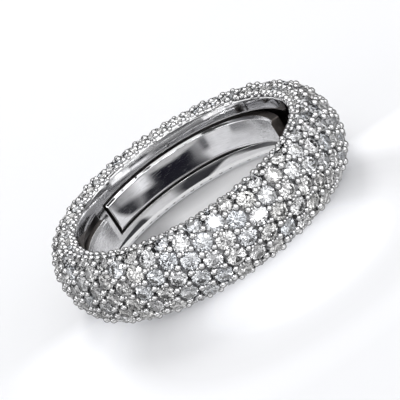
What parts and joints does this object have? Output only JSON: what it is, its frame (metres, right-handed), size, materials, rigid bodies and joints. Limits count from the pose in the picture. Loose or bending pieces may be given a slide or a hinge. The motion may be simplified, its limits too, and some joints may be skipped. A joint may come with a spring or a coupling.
{
  "type": "eternity ring",
  "caption": "Domed eternity ring in polished white metal, pavé set all over with round stones, with sprung liner bars in slots in its inner wall.",
  "frame": {"origin": "on the finger axis, level with the lowest stones, where the ring rests on its side", "axes": "+Z along the finger axis, up from the surface the ring lies on; -Y towards the front, the side nearest the picture's camera"},
  "size_m": [0.0222, 0.0222, 0.0053],
  "materials": {
    "band_metal": "mirror polished white metal",
    "bar_metal": "mirror polished white metal",
    "stone": "clear faceted stone"
  },
  "bodies": {
    "root": {"band": "band_metal", "liner_bar_1": "bar_metal", "liner_bar_2": "bar_metal", "centre_stones": "stone", "side_stones": "stone"}
  },
  "joints": []
}
